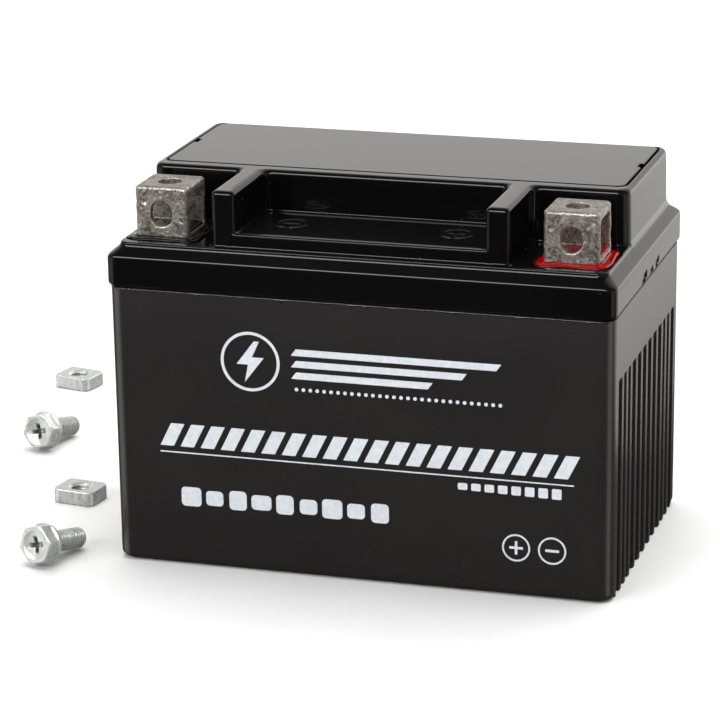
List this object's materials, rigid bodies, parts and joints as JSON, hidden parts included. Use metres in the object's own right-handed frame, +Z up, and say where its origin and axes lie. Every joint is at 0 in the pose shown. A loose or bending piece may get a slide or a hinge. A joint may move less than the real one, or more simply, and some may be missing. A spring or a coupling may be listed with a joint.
{
  "type": "motorcycle battery",
  "caption": "Sealed lead-acid motorcycle battery: black case with ribbed ends, stepped cover with cap strip, two open-sided lead terminals, loose bolts and nuts.",
  "frame": {"origin": "centre of the underside of the case", "axes": "+X to the positive terminal's side, +Y to the back (away from the terminals), +Z up"},
  "size_m": [0.1737, 0.1336, 0.085],
  "materials": {
    "case_plastic": "fine satin moulding",
    "cover_plastic": "glossy moulding",
    "cap_plastic": "glossy moulding",
    "seal_rubber": "matte",
    "valve_rubber": "matte",
    "ceramic": "porous ceramic",
    "lead": "mottled cast lead",
    "strap_lead": "dull cast lead",
    "red_resin": "glossy cast resin",
    "black_resin": "glossy cast resin",
    "positive_paste": "matte pasted grid",
    "negative_paste": "matte pasted grid",
    "glass_mat": "soft glass fibre mat",
    "zinc": "bright zinc plating"
  },
  "bodies": {
    "battery": {"case": "case_plastic", "cell_walls": "case_plastic", "cover": "cover_plastic", "cover_block": "cover_plastic", "cover_shelf": "cover_plastic", "cover_divider_left": "cover_plastic", "cover_divider_right": "cover_plastic", "cover_cell_walls": "cover_plastic", "negative_terminal": "lead", "positive_terminal": "lead", "negative_post_seal": "black_resin", "positive_post_seal": "red_resin", "negative_post": "strap_lead", "positive_post": "strap_lead", "negative_post_gasket": "seal_rubber", "positive_post_gasket": "seal_rubber", "negative_end_strap": "strap_lead", "positive_end_strap": "strap_lead", "cell_link_1": "strap_lead", "cell_link_2": "strap_lead", "cell_link_3": "strap_lead", "cell_link_4": "strap_lead", "cell_link_5": "strap_lead", "positive_plates_1": "positive_paste", "positive_plates_2": "positive_paste", "positive_plates_3": "positive_paste", "positive_plates_4": "positive_paste", "positive_plates_5": "positive_paste", "positive_plates_6": "positive_paste", "negative_plates_1": "negative_paste", "negative_plates_2": "negative_paste", "negative_plates_3": "negative_paste", "negative_plates_4": "negative_paste", "negative_plates_5": "negative_paste", "negative_plates_6": "negative_paste", "separators_1": "glass_mat", "separators_2": "glass_mat", "separators_3": "glass_mat", "separators_4": "glass_mat", "separators_5": "glass_mat", "separators_6": "glass_mat"},
    "cap_strip": {"cap_strip": "cap_plastic", "plug_seals": "seal_rubber", "flame_arrestors": "ceramic"},
    "relief_valve_1": {"relief_valve_1": "valve_rubber"},
    "relief_valve_2": {"relief_valve_2": "valve_rubber"},
    "relief_valve_3": {"relief_valve_3": "valve_rubber"},
    "relief_valve_4": {"relief_valve_4": "valve_rubber"},
    "relief_valve_5": {"relief_valve_5": "valve_rubber"},
    "relief_valve_6": {"relief_valve_6": "valve_rubber"},
    "terminal_bolt_1": {"terminal_bolt_1": "zinc"},
    "terminal_nut_1": {"terminal_nut_1": "zinc"},
    "terminal_bolt_2": {"terminal_bolt_2": "zinc"},
    "terminal_nut_2": {"terminal_nut_2": "zinc"}
  },
  "joints": [
    {"name": "cap_strip_lift", "type": "slide", "parent": "battery", "child": "cap_strip", "axis": [0, 0, 1], "range_m": [0, 0.024]},
    {"name": "relief_valve_1_lift", "type": "slide", "parent": "battery", "child": "relief_valve_1", "axis": [0, 0, 1], "range_m": [0, 0.0005], "stiffness_N_per_m": 200, "springref_m": -0.0015},
    {"name": "relief_valve_2_lift", "type": "slide", "parent": "battery", "child": "relief_valve_2", "axis": [0, 0, 1], "range_m": [0, 0.0005], "stiffness_N_per_m": 200, "springref_m": -0.0015},
    {"name": "relief_valve_3_lift", "type": "slide", "parent": "battery", "child": "relief_valve_3", "axis": [0, 0, 1], "range_m": [0, 0.0005], "stiffness_N_per_m": 200, "springref_m": -0.0015},
    {"name": "relief_valve_4_lift", "type": "slide", "parent": "battery", "child": "relief_valve_4", "axis": [0, 0, 1], "range_m": [0, 0.0005], "stiffness_N_per_m": 200, "springref_m": -0.0015},
    {"name": "relief_valve_5_lift", "type": "slide", "parent": "battery", "child": "relief_valve_5", "axis": [0, 0, 1], "range_m": [0, 0.0005], "stiffness_N_per_m": 200, "springref_m": -0.0015},
    {"name": "relief_valve_6_lift", "type": "slide", "parent": "battery", "child": "relief_valve_6", "axis": [0, 0, 1], "range_m": [0, 0.0005], "stiffness_N_per_m": 200, "springref_m": -0.0015},
    {"name": "terminal_bolt_1_lift", "type": "slide", "parent": "battery", "child": "terminal_bolt_1", "axis": [0, 0, 1], "range_m": [0, 0.03]},
    {"name": "terminal_nut_1_lift", "type": "slide", "parent": "battery", "child": "terminal_nut_1", "axis": [0, 0, 1], "range_m": [0, 0.03]},
    {"name": "terminal_bolt_2_lift", "type": "slide", "parent": "battery", "child": "terminal_bolt_2", "axis": [0, 0, 1], "range_m": [0, 0.03]},
    {"name": "terminal_nut_2_lift", "type": "slide", "parent": "battery", "child": "terminal_nut_2", "axis": [0, 0, 1], "range_m": [0, 0.03]}
  ]
}
